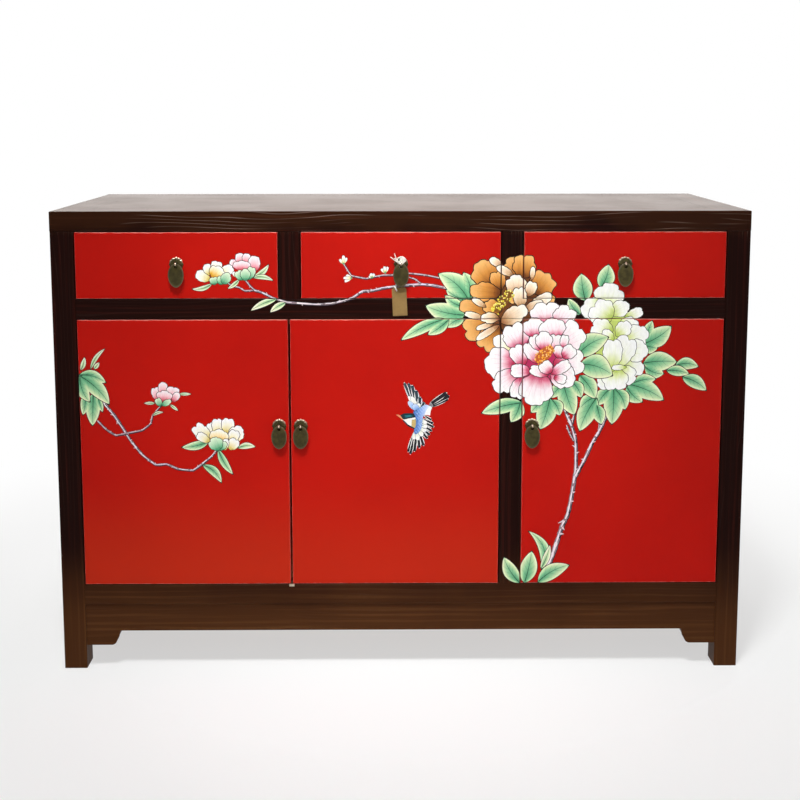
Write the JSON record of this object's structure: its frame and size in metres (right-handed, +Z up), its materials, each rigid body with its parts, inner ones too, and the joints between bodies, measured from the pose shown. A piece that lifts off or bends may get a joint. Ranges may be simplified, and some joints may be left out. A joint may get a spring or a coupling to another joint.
{
  "type": "side cabinet",
  "caption": "Dark elm side cabinet with red lacquered drawer fronts and doors, bronze drop pulls and a painted spray of peonies with a small bird.",
  "frame": {"origin": "on the floor, in the middle of the whole object with its pulls and without its tag", "axes": "+X to the right along the length, +Y to the back, +Z up; the drawers and doors face -Y"},
  "size_m": [1.2, 0.451, 0.817],
  "materials": {
    "dark_elm": "dark stain under satin lacquer",
    "red_lacquer": "red satin lacquer, painted by hand",
    "plain_wood": "thin clear coat on paulownia and elm",
    "bronze": "aged, dark patina with rubbed edges",
    "steel": "turned",
    "brass": "brushed",
    "card": "uncoated brown card",
    "string": "twisted cotton"
  },
  "bodies": {
    "cabinet": {"post_front_left": "dark_elm", "post_front_right": "dark_elm", "post_back_left": "dark_elm", "post_back_right": "dark_elm", "top_rail_front": "dark_elm", "top_rail_back": "dark_elm", "top_rail_left": "dark_elm", "top_rail_right": "dark_elm", "top_panel": "dark_elm", "mid_rail_front": "dark_elm", "bottom_rail_front": "dark_elm", "drawer_dividers": "dark_elm", "mullion": "dark_elm", "side_rails": "dark_elm", "side_panels": "dark_elm", "back_rails": "dark_elm", "back_panels": "dark_elm", "apron_front": "dark_elm", "apron_left": "dark_elm", "apron_right": "dark_elm", "top_battens": "plain_wood", "bottom_board": "plain_wood", "partition": "plain_wood", "shelf_wide": "plain_wood", "shelf_narrow": "plain_wood", "shelf_cleats": "plain_wood", "drawer_runners": "plain_wood", "drawer_guides": "plain_wood", "door_stops": "plain_wood", "pivot_pins": "steel", "catch_plate": "brass"},
    "drawer_left": {"drawer_left_front": "red_lacquer", "drawer_left_sides": "plain_wood", "drawer_left_back": "plain_wood", "drawer_left_bottom": "plain_wood", "pull_drawer_left": "bronze"},
    "drawer_middle": {"drawer_middle_front": "red_lacquer", "drawer_middle_sides": "plain_wood", "drawer_middle_back": "plain_wood", "drawer_middle_bottom": "plain_wood", "pull_drawer_middle": "bronze", "tag": "card", "tag_string": "string"},
    "drawer_right": {"drawer_right_front": "red_lacquer", "drawer_right_sides": "plain_wood", "drawer_right_back": "plain_wood", "drawer_right_bottom": "plain_wood", "pull_drawer_right": "bronze"},
    "door_left": {"door_left": "red_lacquer", "pull_door_left": "bronze"},
    "door_middle": {"door_middle": "red_lacquer", "pull_door_middle": "bronze"},
    "door_right": {"door_right": "red_lacquer", "pull_door_right": "bronze"},
    "drop_drawer_left": {"drop_drawer_left": "bronze"},
    "drop_drawer_middle": {"drop_drawer_middle": "bronze"},
    "drop_drawer_right": {"drop_drawer_right": "bronze"},
    "drop_door_left": {"drop_door_left": "bronze"},
    "drop_door_middle": {"drop_door_middle": "bronze"},
    "drop_door_right": {"drop_door_right": "bronze"}
  },
  "joints": [
    {"name": "drawer_left_slide", "type": "slide", "parent": "cabinet", "child": "drawer_left", "axis": [0, -1, 0], "range_m": [0, 0.3]},
    {"name": "drawer_middle_slide", "type": "slide", "parent": "cabinet", "child": "drawer_middle", "axis": [0, -1, 0], "range_m": [0, 0.3]},
    {"name": "drawer_right_slide", "type": "slide", "parent": "cabinet", "child": "drawer_right", "axis": [0, -1, 0], "range_m": [0, 0.3]},
    {"name": "door_left_hinge", "type": "hinge", "parent": "cabinet", "child": "door_left", "pos_m": [-0.5485, -0.209, 0.1545], "axis": [0, 0, -1], "range_deg": [0, 105]},
    {"name": "door_middle_hinge", "type": "hinge", "parent": "cabinet", "child": "door_middle", "pos_m": [0.1615, -0.209, 0.1545], "axis": [0, 0, 1], "range_deg": [0, 105]},
    {"name": "door_right_hinge", "type": "hinge", "parent": "cabinet", "child": "door_right", "pos_m": [0.5485, -0.209, 0.1545], "axis": [0, 0, 1], "range_deg": [0, 105]},
    {"name": "drop_drawer_left_hinge", "type": "hinge", "parent": "drawer_left", "child": "drop_drawer_left", "pos_m": [-0.385, -0.2215, 0.72625], "axis": [-1, 0, 0], "range_deg": [0, 90]},
    {"name": "drop_drawer_middle_hinge", "type": "hinge", "parent": "drawer_middle", "child": "drop_drawer_middle", "pos_m": [0, -0.2215, 0.72625], "axis": [-1, 0, 0], "range_deg": [0, 90]},
    {"name": "drop_drawer_right_hinge", "type": "hinge", "parent": "drawer_right", "child": "drop_drawer_right", "pos_m": [0.385, -0.2215, 0.72625], "axis": [-1, 0, 0], "range_deg": [0, 90]},
    {"name": "drop_door_left_hinge", "type": "hinge", "parent": "door_left", "child": "drop_door_left", "pos_m": [-0.21225, -0.2215, 0.442], "axis": [-1, 0, 0], "range_deg": [0, 90]},
    {"name": "drop_door_middle_hinge", "type": "hinge", "parent": "door_middle", "child": "drop_door_middle", "pos_m": [-0.17475, -0.2215, 0.442], "axis": [-1, 0, 0], "range_deg": [0, 90]},
    {"name": "drop_door_right_hinge", "type": "hinge", "parent": "door_right", "child": "drop_door_right", "pos_m": [0.2285, -0.2215, 0.442], "axis": [-1, 0, 0], "range_deg": [0, 90]}
  ]
}
